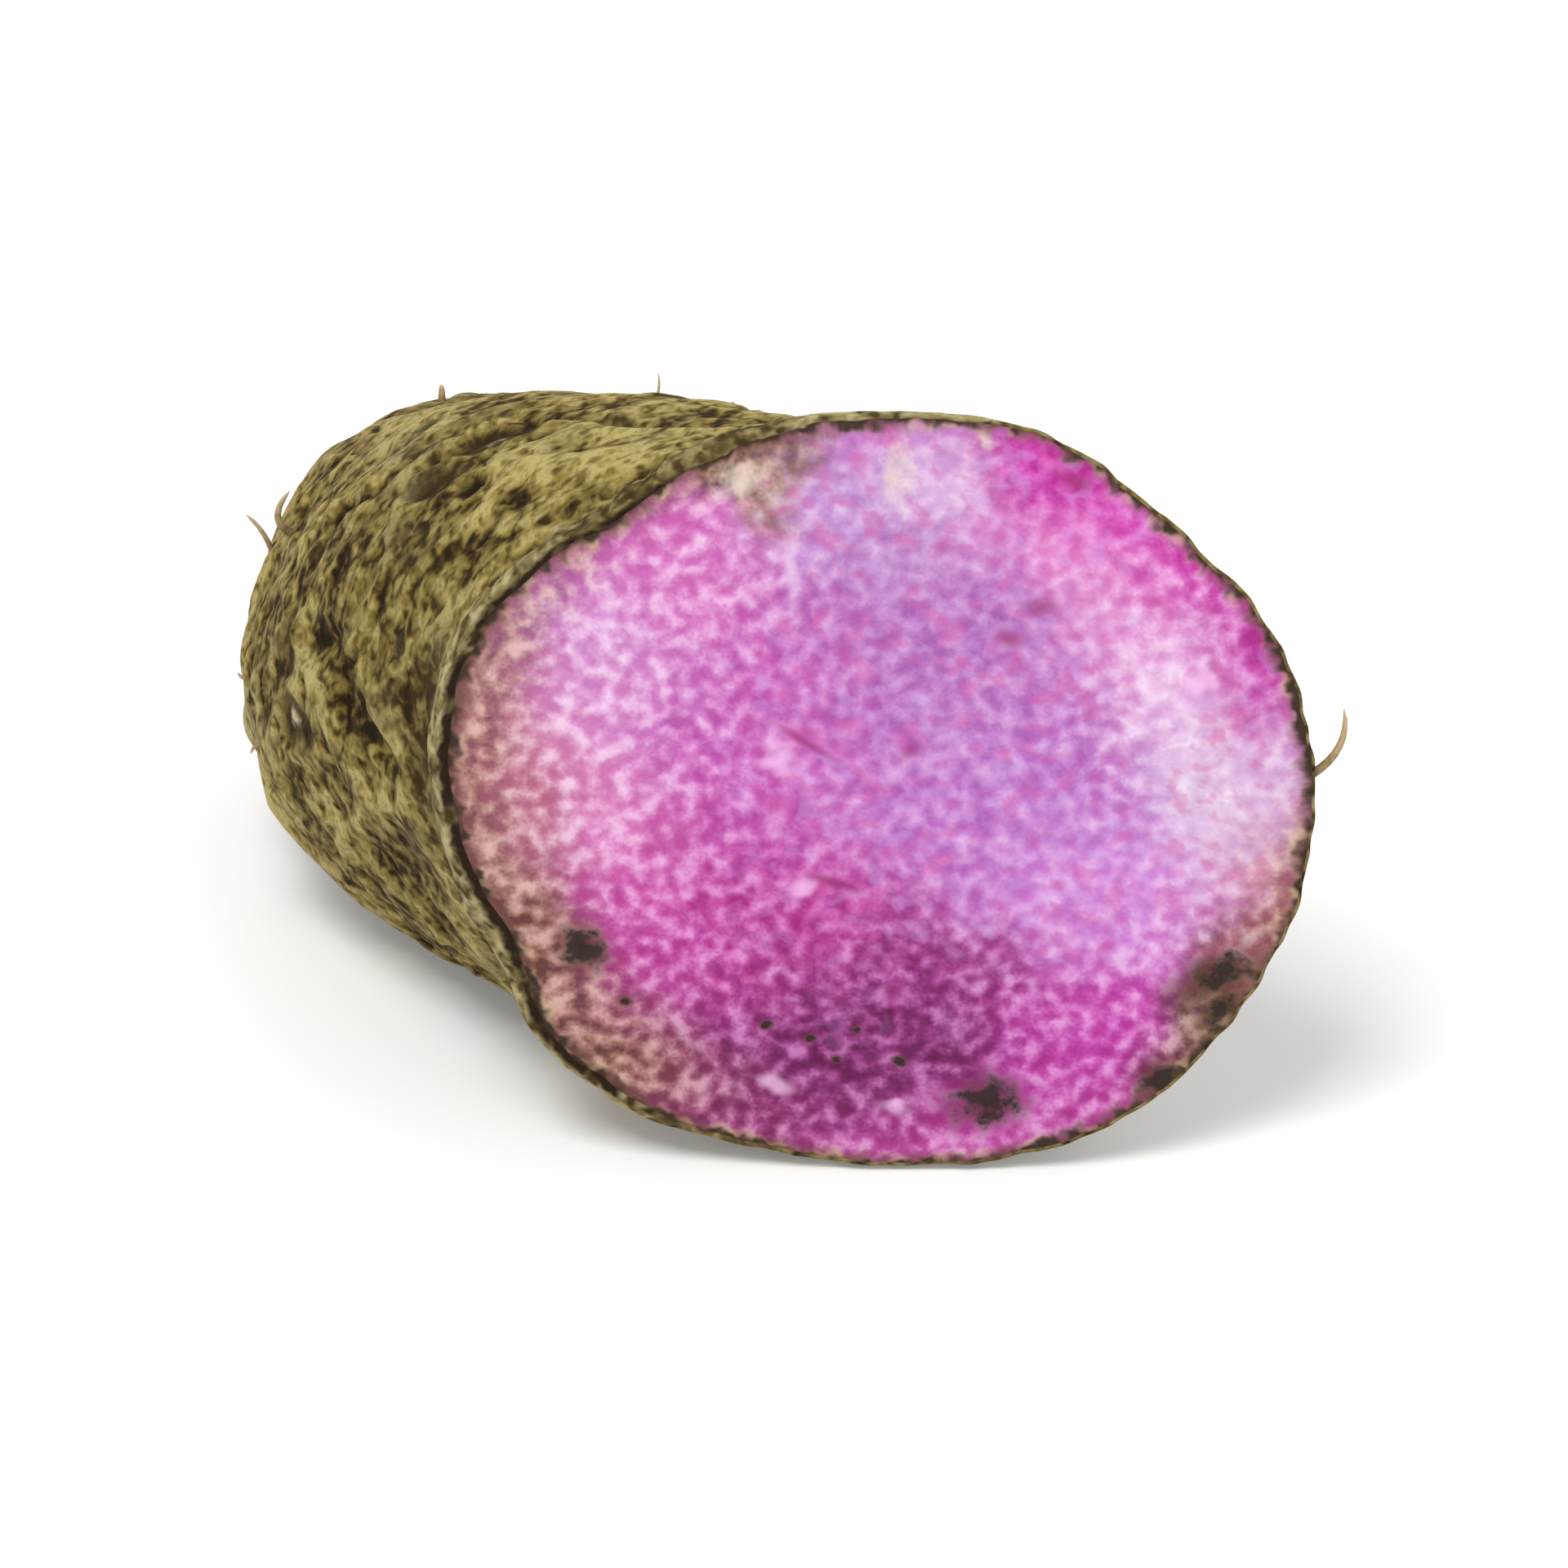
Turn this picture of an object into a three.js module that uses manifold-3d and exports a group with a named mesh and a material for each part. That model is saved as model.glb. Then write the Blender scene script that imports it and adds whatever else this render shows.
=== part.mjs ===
// The end piece of a purple yam, cut straight across and lying on its side.
// Millimetres, +Z up. The flat cut face looks along -Y. Behind it the tuber swings towards -X,
// narrows a little and closes in a blunt, rounded end. It grew in one piece, so it is one solid,
// with a small flat underneath where it lies. The origin is the middle of its footprint.

import * as THREE from 'three';
import { mergeVertices } from 'three/addons/utils/BufferGeometryUtils.js';
import Module from 'manifold-3d';

// Driving dimensions
const CUT_RADIUS = 40.3; // mean radius of the cut face, skin included
const LENGTH = 90; // from the cut face to the far end, along +Y
const SIDE_SWING = 45.5; // how far the far end lies towards -X of the cut face's centre
const SWING_BEND = 0.56; // 0 for a straight swing, more to take more of it near the cut
const WIDTH_TAPER = 0.31; // share of the width lost by the far end, before it rounds over
const HEIGHT_TAPER = 0.37; // the same for the height
const TIP_RISE = 16; // height of the far end's tip over the underside
const BELLY_SAG = 1; // how far the middle of the underside hangs below the cut's lowest point

// Lumps of the outline and the body. along is 0 at the cut and 1 at the far end, around is in
// degrees from +X, upwards over the top. rise is in millimetres, negative for a hollow, and fades
// over reach (a share of the length) and over spread (degrees).
const RIM_LUMPS = [
  { around: 45, rise: -0.9, spread: 12 },
  { around: 72, rise: 0.9, spread: 14 },
  { around: 160, rise: 0.8, spread: 16 },
  { around: 208, rise: -1.2, spread: 12 },
  { around: 230, rise: 1.0, spread: 12 },
  { around: 262, rise: -0.7, spread: 20 },
  { around: 302, rise: 1.0, spread: 18 },
];
const RIM_REACH = 0.12; // how far along the body a lump of the rim carries
const BODY_LUMPS = [
  { along: 0.16, around: 100, rise: -2.4, reach: 0.2, spread: 36 },
  { along: 0.22, around: 218, rise: -4.0, reach: 0.2, spread: 36 },
  { along: 0.35, around: 275, rise: 0.8, reach: 0.2, spread: 20 },
  { along: 0.4, around: 340, rise: 1.6, reach: 0.16, spread: 20 },
  { along: 0.45, around: 60, rise: -1.2, reach: 0.16, spread: 24 },
  { along: 0.5, around: 215, rise: 6.4, reach: 0.28, spread: 40 },
  { along: 0.55, around: 150, rise: -2.2, reach: 0.28, spread: 40 },
  { along: 0.62, around: 20, rise: 2.4, reach: 0.16, spread: 26 },
  { along: 0.78, around: 290, rise: 2.0, reach: 0.14, spread: 40 },
  { along: 0.84, around: 120, rise: 1.8, reach: 0.1, spread: 40 },
];
const RIM_BLEND = 0.08; // share of the length over which the body's lumps fade to nothing at the cut

// Facets
const SIDES = 72; // around the body
const RINGS = 30; // from the cut to the far end

// Height of one lump at an angular distance of turn degrees and a distance of step along the body.
function bump(lump, step, turn) {
  const nearTurn = THREE.MathUtils.euclideanModulo(turn + 180, 360) - 180;
  return lump.rise * Math.exp(-(step ** 2) - (nearTurn / lump.spread) ** 2);
}

// Radius of the body before it tapers and closes, with every lump added.
function lumpyRadius(along, around) {
  const rim = RIM_LUMPS.reduce(
    (sum, lump) => sum + bump(lump, along / RIM_REACH, around - lump.around), 0);
  const body = BODY_LUMPS.reduce(
    (sum, lump) => sum + bump(lump, (along - lump.along) / lump.reach, around - lump.around), 0);
  return CUT_RADIUS + rim + body * THREE.MathUtils.smoothstep(along, 0, RIM_BLEND);
}

// A point of the skin. closing runs from 0 at the cut to a quarter turn at the tip: the body's
// size follows its cosine, and the way along makes the end blunter than a ball.
function skinPoint(closing, around) {
  const dome = Math.cos(closing);
  const along = Math.sqrt(1 - dome ** 4);
  const radius = lumpyRadius(along, around);
  const turn = THREE.MathUtils.degToRad(around);
  const width = (1 - WIDTH_TAPER * along) * dome;
  const height = (1 - HEIGHT_TAPER * along) * dome;
  const underside = TIP_RISE * (1 - dome) - BELLY_SAG * 4 * along * (1 - along);
  const swing = SIDE_SWING * along * (1 + SWING_BEND * (1 - along));
  return new THREE.Vector3(
    width * radius * Math.cos(turn) - swing,
    LENGTH * along,
    underside + height * (CUT_RADIUS + radius * Math.sin(turn)),
  );
}

// The whole tuber as one closed mesh: rings of skin, a fan over the cut and a fan at the tip.
function tuberGeometry() {
  const points = [];
  for (let ring = 0; ring < RINGS; ring += 1) {
    for (let side = 0; side < SIDES; side += 1) {
      points.push(skinPoint((ring / RINGS) * (Math.PI / 2), (side / SIDES) * 360));
    }
  }
  const tip = points.push(skinPoint(Math.PI / 2, 0)) - 1;
  const cutCentre = points.push(new THREE.Vector3(0, 0, CUT_RADIUS)) - 1;

  const at = (ring, side) => ring * SIDES + (side % SIDES);
  const faces = [];
  for (let side = 0; side < SIDES; side += 1) {
    faces.push(cutCentre, at(0, side), at(0, side + 1));
    for (let ring = 0; ring < RINGS - 1; ring += 1) {
      faces.push(at(ring, side), at(ring + 1, side), at(ring, side + 1));
      faces.push(at(ring, side + 1), at(ring + 1, side), at(ring + 1, side + 1));
    }
    faces.push(at(RINGS - 1, side), tip, at(RINGS - 1, side + 1));
  }
  const geometry = new THREE.BufferGeometry().setFromPoints(points);
  geometry.setIndex(faces);
  return geometry;
}

// A slab that reaches from the surface the yam lies on downwards, wide enough to pass under all of it.
function groundGeometry() {
  const depth = CUT_RADIUS;
  const slab = new THREE.BoxGeometry(4 * LENGTH, 4 * LENGTH, depth);
  slab.translate(0, 0, -depth / 2);
  slab.deleteAttribute('normal');
  slab.deleteAttribute('uv');
  return mergeVertices(slab);
}

const wasm = await Module();
wasm.setup();

function toSolid(geometry) {
  return new wasm.Manifold(new wasm.Mesh({
    numProp: 3,
    vertProperties: new Float32Array(geometry.attributes.position.array),
    triVerts: new Uint32Array(geometry.index.array),
  }));
}

function toGeometry(solid) {
  const { vertProperties, triVerts } = solid.getMesh();
  const geometry = new THREE.BufferGeometry();
  geometry.setAttribute('position', new THREE.BufferAttribute(vertProperties, 3));
  geometry.setIndex(new THREE.BufferAttribute(triVerts, 1));
  return geometry;
}

// The tuber with its foot trimmed flat, moved so that the middle of its footprint is the origin.
function yam() {
  const geometry = toGeometry(toSolid(tuberGeometry()).subtract(toSolid(groundGeometry())));
  geometry.computeBoundingBox();
  const middle = geometry.boundingBox.getCenter(new THREE.Vector3());
  const bark = new THREE.MeshStandardMaterial({ color: 0x6a5934, roughness: 0.85, metalness: 0 });
  const mesh = new THREE.Mesh(geometry, bark);
  mesh.name = 'yam';
  mesh.position.set(-middle.x, -middle.y, -geometry.boundingBox.min.z);
  return mesh;
}

const part = new THREE.Group();
part.add(yam());

export default part;
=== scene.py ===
"""The end piece of a purple yam, cut across and lying on its side.

The tuber is one closed surface, worked out on a grid. Its rings run from the tip of the rounded
end over the rough skin to the cut, over the lip of the skin, through the dark line inside it and
across the purple flesh to the middle. A few rootlets stand on the skin.

Lengths are in millimetres until a mesh is made. Angles round the body are in degrees from +X,
upwards over the top. The way along the body is 0 at the cut and 1 at the far end. Distances on
the skin are from the cut. The grid's own way is that distance below zero on the skin, and the
distance in from the rim on the cut.
"""

import logging
import math
from dataclasses import dataclass, field
from enum import Enum
from itertools import product
from typing import Protocol, TypeVar

import bpy
import numpy as np
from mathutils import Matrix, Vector


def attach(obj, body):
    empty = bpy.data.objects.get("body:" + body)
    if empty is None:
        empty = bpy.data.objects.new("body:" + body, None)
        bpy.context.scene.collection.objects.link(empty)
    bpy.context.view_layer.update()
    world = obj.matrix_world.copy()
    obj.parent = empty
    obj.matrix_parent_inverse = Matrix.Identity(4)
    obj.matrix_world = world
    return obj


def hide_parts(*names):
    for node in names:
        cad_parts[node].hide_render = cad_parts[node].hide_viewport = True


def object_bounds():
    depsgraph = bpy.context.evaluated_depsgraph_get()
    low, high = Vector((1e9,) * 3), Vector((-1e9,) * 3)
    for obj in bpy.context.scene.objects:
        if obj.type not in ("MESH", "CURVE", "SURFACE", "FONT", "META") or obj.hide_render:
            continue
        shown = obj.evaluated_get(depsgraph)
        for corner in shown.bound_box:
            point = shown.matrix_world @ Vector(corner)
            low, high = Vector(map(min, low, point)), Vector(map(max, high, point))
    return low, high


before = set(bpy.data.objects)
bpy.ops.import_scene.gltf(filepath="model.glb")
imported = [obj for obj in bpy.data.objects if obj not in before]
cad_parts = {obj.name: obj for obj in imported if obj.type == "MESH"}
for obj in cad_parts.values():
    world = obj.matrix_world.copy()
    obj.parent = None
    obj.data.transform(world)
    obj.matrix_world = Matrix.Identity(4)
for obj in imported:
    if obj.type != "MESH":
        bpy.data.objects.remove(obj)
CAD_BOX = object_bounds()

LOG = logging.getLogger("yam")
MM = 0.001  # metres in a millimetre

Array = np.ndarray
Colour = tuple[float, float, float]  # red, green and blue as a screen shows them, 0 to 255
Stops = tuple[tuple[float, Colour], ...]  # colours, each at its place from 0 to 1
Material = bpy.types.Material
Socket = bpy.types.NodeSocket
Number = Socket | float
Kind = TypeVar("Kind")


# ---- Small sums that the shapes share ----


def smooth_step(values: Array) -> Array:
    """An even rise from 0 to 1 as values go from 0 to 1: 3t squared minus 2t cubed."""
    held = np.clip(values, 0.0, 1.0)
    return held * held * (3.0 - 2.0 * held)


def hill(distance: Array) -> Array:
    """A rounded hill, 1 at distance 0: e to the power of minus the distance squared."""
    return np.exp(-(distance**2))


def turn_between(around: Array, other: float) -> Array:
    """The turn from other to around, in degrees from -180 to 180."""
    return (around - other + 180.0) % 360.0 - 180.0


def unit(vectors: Array) -> Array:
    """The same directions, each made 1 long."""
    return vectors / np.maximum(np.linalg.norm(vectors, axis=-1, keepdims=True), 1e-9)


def from_axis(points: Array) -> Array:
    """How far each point of a ring is from the ring's middle, one row a ring."""
    return np.linalg.norm(points - points.mean(axis=1, keepdims=True), axis=-1)


def linear(colour: Colour) -> Colour:
    """A colour in the linear values that shaders take.

    Args:
        colour: red, green and blue as a screen shows them, 0 to 255.

    Returns:
        The same colour in linear light, 0 to 1.
    """
    shown = np.array(colour) / 255.0
    high = ((shown + 0.055) / 1.055) ** 2.4
    return tuple(float(x) for x in np.where(shown <= 0.04045, shown / 12.92, high))


def each(kind: type[Kind], *rows: tuple) -> tuple[Kind, ...]:
    """One thing of a kind from each row of its values."""
    return tuple(kind(*row) for row in rows)


class Place(Protocol):
    """Anything with a field, which is high in its middle and fades round it."""

    def field(self, one: Array, other: Array) -> Array:
        """The field, by two numbers that say where."""


def highest(places: tuple[Place, ...], one: Array, other: Array) -> Array:
    """The highest of the places' fields."""
    return np.maximum.reduce([place.field(one, other) for place in places])


class GradientNoise:
    """Smooth seeded noise in space, from about -1 to 1."""

    TABLE = 256  # slopes to choose from
    GAIN = 1.6  # brings plain noise near a range of -1 to 1
    LAYER_GAIN = 1.4  # does the same for layered noise

    def __init__(self, seed: int) -> None:
        """Draws the slopes at the corners of the noise's cells.

        Args:
            seed: which noise this is.
        """
        draw = np.random.default_rng(seed)
        self._slopes = unit(draw.normal(size=(self.TABLE, 3)))
        self._order = draw.permutation(self.TABLE)

    def _corner_slopes(self, cells: Array) -> Array:
        """The slope at each cell corner, looked up through the shuffled order three times.

        Args:
            cells: corners as whole numbers, three in the last axis.

        Returns:
            Slopes, three numbers a corner.
        """
        index = 0
        for axis in range(3):
            index = self._order[(index + cells[..., axis]) % self.TABLE]
        return self._slopes[index]

    def at(self, points: Array, wavelength: float) -> Array:
        """Noise at points: slopes at the eight corners round each, blended by a fifth-power fade.

        Args:
            points: positions, with three numbers in the last axis.
            wavelength: size of one wave, in the unit of the points.

        Returns:
            One number a point.
        """
        scaled = points / wavelength
        cells = np.floor(scaled).astype(np.int64)
        inside = scaled - cells
        fade = inside**3 * (inside * (inside * 6.0 - 15.0) + 10.0)
        total = np.zeros(points.shape[:-1])
        for corner in product((0, 1), repeat=3):
            step = np.array(corner)
            rise = np.sum(self._corner_slopes(cells + step) * (inside - step), axis=-1)
            total += rise * np.prod(np.where(step == 1, fade, 1.0 - fade), axis=-1)
        return total * self.GAIN

    def layered(self, points: Array, wavelength: float, layers: int) -> Array:
        """Noise with finer layers added, each of half the wave and half the height.

        Args:
            points: positions, with three numbers in the last axis.
            wavelength: size of one wave of the coarsest layer.
            layers: how many there are.

        Returns:
            One number a point.
        """
        sizes = 0.5 ** np.arange(layers)
        parts = [size * self.at(points, wavelength * size) for size in sizes]
        return sum(parts) / sizes.sum() * self.LAYER_GAIN

    def ridges(self, points: Array, wavelength: float) -> Array:
        """Thin raised lines with broad hollows between: 1 less three times the size of the noise."""
        return 1.0 - 3.0 * np.abs(self.at(points, wavelength))


# ---- The tuber's form ----

RIM_REACH = 0.12  # how far along the body a lump of the cut's rim carries
PROFILE_STEPS = 600


@dataclass(frozen=True)
class Spot:
    """A place on the body where something is high, as a lump is or a patch of dark skin."""

    along: float  # way along the body, or distance from the cut in mm
    around: float  # degrees
    reach: float  # how far it fades along the body
    spread: float  # how far it fades round the body, degrees
    rise: float = 1.0  # how high it is in its middle, mm for a lump

    def field(self, along: Array, around: Array) -> Array:
        """A hill over the place."""
        aside = turn_between(around, self.around) / self.spread
        return self.rise * hill(np.hypot((along - self.along) / self.reach, aside))


@dataclass(frozen=True)
class TuberForm:
    """The smooth body: the same formula and sizes as the CAD solid."""

    cut_radius: float = 40.3  # mm
    length: float = 90.0
    side_swing: float = 45.5  # how far the far end stands to the left, mm
    swing_bend: float = 0.56  # how much more of it comes near the cut
    width_taper: float = 0.31  # share that the body has lost at the far end
    height_taper: float = 0.37
    tip_rise: float = 16.0  # mm
    belly_sag: float = 1.0
    rim_blend: float = 0.08  # way along the body over which its own lumps grow
    rim_lumps: tuple[Spot, ...] = each(
        Spot,
        (0, 45, RIM_REACH, 12, -0.9),
        (0, 72, RIM_REACH, 14, 0.9),
        (0, 160, RIM_REACH, 16, 0.8),
        (0, 208, RIM_REACH, 12, -1.2),
        (0, 230, RIM_REACH, 12, 1),
        (0, 262, RIM_REACH, 20, -0.7),
        (0, 302, RIM_REACH, 18, 1),
    )
    body_lumps: tuple[Spot, ...] = each(
        Spot,
        (0.16, 100, 0.2, 36, -2.4),
        (0.22, 218, 0.2, 36, -4),
        (0.35, 275, 0.2, 20, 0.8),
        (0.4, 340, 0.16, 20, 1.6),
        (0.45, 60, 0.16, 24, -1.2),
        (0.5, 215, 0.28, 40, 6.4),
        (0.55, 150, 0.28, 40, -2.2),
        (0.62, 20, 0.16, 26, 2.4),
        (0.78, 290, 0.14, 40, 2),
        (0.84, 120, 0.1, 40, 1.8),
    )

    def radius(self, along: Array, around: Array) -> Array:
        """The body's radius before it tapers: the cut's radius plus a hill for every lump.

        Args:
            along: places on the way along the body.
            around: places round the body, degrees.

        Returns:
            Radii in mm. The body's own lumps fade to nothing at the cut.
        """
        rim, body = (
            sum(lump.field(along, around) for lump in lumps)
            for lumps in (self.rim_lumps, self.body_lumps)
        )
        return self.cut_radius + rim + smooth_step(along / self.rim_blend) * body

    def skin(self, closing: Array, around: Array) -> Array:
        """Points of the smooth skin, with the cut's centre over the origin.

        closing runs from 0 at the cut to a quarter turn at the tip. The body's size follows its
        cosine, the dome, and the way along is the root of 1 less the dome to the fourth power.
        Each ring stands on an underside that sags a little and rises to the tip, and the
        rings swing sideways, more near the cut than at the far end.

        Args:
            closing: quarter-turn angles in radians.
            around: places round the body, degrees.

        Returns:
            Points in mm, shaped as closing and around together, with three numbers each.
        """
        dome = np.cos(closing)
        along = np.sqrt(np.clip(1.0 - dome**4, 0.0, 1.0))
        radius = self.radius(along, around)
        turn = np.radians(around)
        width = (1.0 - self.width_taper * along) * dome
        height = (1.0 - self.height_taper * along) * dome
        underside = self.tip_rise * (1.0 - dome) - self.belly_sag * 4.0 * along * (1.0 - along)
        swing = self.side_swing * along * (1.0 + self.swing_bend * (1.0 - along))
        x = width * radius * np.cos(turn) - swing
        z = underside + height * (self.cut_radius + radius * np.sin(turn))
        return np.stack([x, self.length * along + 0.0 * x, z], axis=-1)

    def skin_at(self, distance: Array, around: Array) -> Array:
        """Points of the smooth skin by their distance from the cut along the mean profile."""
        angles, lengths = self._profile()
        return self.skin(np.interp(distance, lengths, angles), around)

    @property
    def profile_length(self) -> float:
        """Distance from the cut to the tip along the mean profile, in mm."""
        return float(self._profile()[1][-1])

    def _profile(self) -> tuple[Array, Array]:
        """The body's mean profile, measured in small steps.

        Returns:
            Closing angles, and the profile's length from the cut up to each.
        """
        angles = np.linspace(0.0, math.pi / 2.0, PROFILE_STEPS)
        dome = np.cos(angles)
        along = np.sqrt(1.0 - dome**4)
        radius = self.cut_radius * dome * (1.0 - self.width_taper * along)
        steps = np.hypot(np.diff(radius), np.diff(self.length * along))
        return angles, np.concatenate([[0.0], np.cumsum(steps)])


# ---- The skin's relief ----


@dataclass(frozen=True)
class Scar:
    """A sunken oval in the skin where a root or eye was, with a raised kernel in it."""

    distance: float  # from the cut along the skin, mm
    around: float  # degrees
    length: float  # half its size round the body, mm
    width: float  # half its size along the body, mm
    depth: float  # mm
    kernel: float  # how strongly its kernel shows, 0 to 1

    def fields(self, distances: Array, around: Array, radius: Array) -> tuple[Array, ...]:
        """The scar's form, by each place's distance from its middle in its own half sizes.

        Args:
            distances: from the cut along the skin, mm.
            around: places round the body, degrees.
            radius: the body's radius there, mm.

        Returns:
            The rise in mm: a hill for the kernel, less one for the bowl, plus a low wall round
            it. Then the bowl and the kernel, 0 to 1.
        """
        aside = np.radians(turn_between(around, self.around)) * radius / self.length
        away = np.hypot(aside, (distances - self.distance) / self.width)
        bowl, core = hill(away**1.5), self.kernel * hill(away / 0.42)
        wall = 0.45 * hill((away - 1.5) / 0.45)
        return self.depth * (0.9 * core - bowl + wall), bowl, core


@dataclass(frozen=True)
class Crease:
    """A raised or sunken line on the skin between two places."""

    from_distance: float  # from the cut along the skin, mm
    from_around: float  # degrees
    to_distance: float
    to_around: float
    width: float  # mm
    rise: float  # mm, below zero for a groove

    def field(self, distances: Array, around: Array, radius: Array) -> Array:
        """A hill over the line, by each place's distance from the nearest point of it.

        Args:
            distances: from the cut along the skin, mm.
            around: places round the body, degrees.
            radius: the body's radius there, mm.

        Returns:
            The rise in mm.
        """
        ahead = distances - self.from_distance
        aside = np.radians(turn_between(around, self.from_around)) * radius
        run = self.to_distance - self.from_distance
        swing = np.radians(self.to_around - self.from_around) * radius
        share = np.clip((ahead * run + aside * swing) / (run**2 + swing**2), 0.0, 1.0)
        away = np.hypot(ahead - share * run, aside - share * swing)
        return self.rise * hill(away / self.width)


@dataclass
class SkinRelief:
    """Knobs, long raised lines, worm-like ridges, pits and scars of a yam's skin."""

    seed: int = 11
    knob_height: float = 0.7
    knob_wave: float = 19.0
    fold_height: float = 0.22
    fold_wave: float = 7.5
    line_height: float = 0.34  # long raised lines that run round the body
    line_wave: float = 9.0
    worm_height: float = 0.16
    worm_wave: float = 3.4
    pit_depth: float = 0.34
    pit_wave: float = 3.0
    crumb_height: float = 0.03
    crumb_wave: float = 1.3
    full_tone: float = 0.36  # height above or below the middle that counts as 1, mm
    stretch: float = 1.9  # how much longer than wide folds and lines run round the body
    wander: float = 4.0  # mm by which they wander
    wander_wave: float = 14.0
    waver_along: float = 1.8  # mm by which the outlines of scars and creases waver
    waver_along_wave: float = 8.0
    waver_around: float = 2.2  # degrees by which they waver
    waver_around_wave: float = 7.0
    small_scars: int = 40
    # Lowest and highest length, depth, distance, place round, width to length and kernel
    smallest_scar: tuple[float, ...] = (0.7, 0.3, 7.0, 0.0, 0.6, 0.0)
    largest_scar: tuple[float, ...] = (1.5, 0.6, 112.0, 360.0, 1.0, 0.3)
    chosen_scars: tuple[Scar, ...] = each(
        Scar,
        (34, 117.5, 5, 2.6, 0.9, 0.75),
        (33.5, 184, 2.2, 2.8, 0.8, 1),
        (31.5, 133, 2.6, 2.4, 0.6, 0),
        (24.5, 131, 1.6, 1.6, 0.5, 0),
        (52, 118, 1.8, 1.6, 0.5, 0.2),
        (66, 150, 2.4, 2, 0.6, 0.3),
    )
    creases: tuple[Crease, ...] = each(
        Crease,
        (29, 167, 15, 179, 1.9, -0.85),
        (42, 158, 37, 178, 1.7, -0.5),
        (35, 156, 36.5, 168, 1.6, 0.5),
        (36.5, 168, 29, 177, 1.5, 0.5),
        (17, 170, 10.5, 177, 1.4, 0.5),
        (52, 153, 42, 137, 1.8, 0.7),
        (47, 149, 39, 137, 1.5, -0.6),
        (38, 109, 16, 96, 1.4, -0.55),
        (24, 124, 14, 112, 2.2, 0.4),
        (62, 166, 57, 200, 1.9, 0.6),
        (73, 148, 71, 192, 1.6, 0.5),
        (68, 158, 64, 190, 1.5, -0.5),
        (45, 205, 32, 222, 1.8, 0.45),
        (28, 196, 18, 208, 1.5, -0.4),
    )

    def __post_init__(self) -> None:
        """Makes the noises and places the small scars by chance, always the same way."""
        self._noise = [GradientNoise(self.seed + step) for step in range(6)]
        draw = np.random.default_rng(self.seed)
        size = (self.small_scars, len(self.smallest_scar))
        rows = draw.uniform(self.smallest_scar, self.largest_scar, size)
        self._scars = [
            *self.chosen_scars,
            *(
                Scar(distance, around, length, length * share, depth, kernel)
                for length, depth, distance, around, share, kernel in rows
            ),
        ]

    def along_grain(self, points: Array, distances: Array, around: Array) -> Array:
        """Coordinates in which noise comes out stretched round the body.

        Args:
            points: the smooth skin's points, mm.
            distances: their distance from the cut along the skin, mm.
            around: their place round the body, degrees.

        Returns:
            Points whose first two numbers go round the ring, squeezed by the stretch, and
            whose third is the distance along the body, all wandering with a slow noise.
        """
        ring_radius = from_axis(points).mean(axis=1, keepdims=True) / self.stretch
        turn = np.radians(around)
        ring = [ring_radius * np.cos(turn), ring_radius * np.sin(turn)]
        flat = np.stack([*ring, distances + 0.0 * ring_radius * turn], axis=-1)
        drift = [noise.at(points, self.wander_wave) for noise in self._noise[:3]]
        return flat + self.wander * np.stack(drift, axis=-1) * np.array([0.4, 0.4, 1.0])

    def at(
        self, points: Array, distances: Array, around: Array
    ) -> tuple[Array, dict[str, Array]]:
        """The relief over the whole skin.

        Args:
            points: the smooth skin's points, mm.
            distances: their distance from the cut along the skin, mm.
            around: their place round the body, degrees.

        Returns:
            The height in mm: knobs from slow noise in space, folds and ridges from noise
            stretched round the body, fine crumbs, and scars and creases with wavering outlines.
            Then what the material reads: the fine relief, which is used as painted shade in hollows
            and painted light on ridges, the scars and their kernels, 0 to 1.
        """
        grain = self.along_grain(points, distances, around)
        loose = points + 0.6 * (grain - points) * np.array([0.0, 0.0, 1.0])
        knobs = self._noise[3].layered(points, self.knob_wave, 2)
        folds = self.fold_height * self._noise[4].layered(grain, self.fold_wave, 2)
        crest = self._noise[5].ridges(grain, self.line_wave)
        worms = self._noise[0].at(loose, self.worm_wave)
        holes = self._noise[2].at(points, self.pit_wave)
        crumbs = self._noise[1].at(points, self.crumb_wave)
        lines = smooth_step((crest - 0.35) / 0.6) - 0.45 * hill((crest - 0.05) / 0.28)
        pits = smooth_step((holes - 0.28) / 0.3)
        bent = self._noise[1].layered(points, self.waver_along_wave, 3)
        turned = self._noise[2].layered(points, self.waver_around_wave, 3)
        where = (
            distances + self.waver_along * bent,
            around + self.waver_around * turned,
            from_axis(points),
        )
        rises, bowls, cores = zip(*(scar.fields(*where) for scar in self._scars))
        fine = (
            self.line_height * lines
            + self.worm_height * worms
            - self.pit_depth * pits
            + self.crumb_height * crumbs
            + sum(crease.field(*where) for crease in self.creases)
        )
        height = self.knob_height * knobs + folds + fine + sum(rises)
        # the relief value: painted shade in hollows and painted light on ridges, taken from the
        # height
        tone = (1.5 * fine + 0.5 * folds + 0.8 * sum(rises)) / self.full_tone
        shown = {
            "relief": np.clip(tone, -1.6, 1.6),
            "scar": np.maximum.reduce(bowls),
            "kernel": np.maximum.reduce(cores),
        }
        return height, shown


# ---- The cut face ----


@dataclass(frozen=True)
class Patch:
    """A patch of flesh of one colour, in mm right of the middle of the cut and up from it."""

    right: float
    up: float
    half_width: float
    half_height: float
    colour: Colour
    weight: float = 1.0


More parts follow.
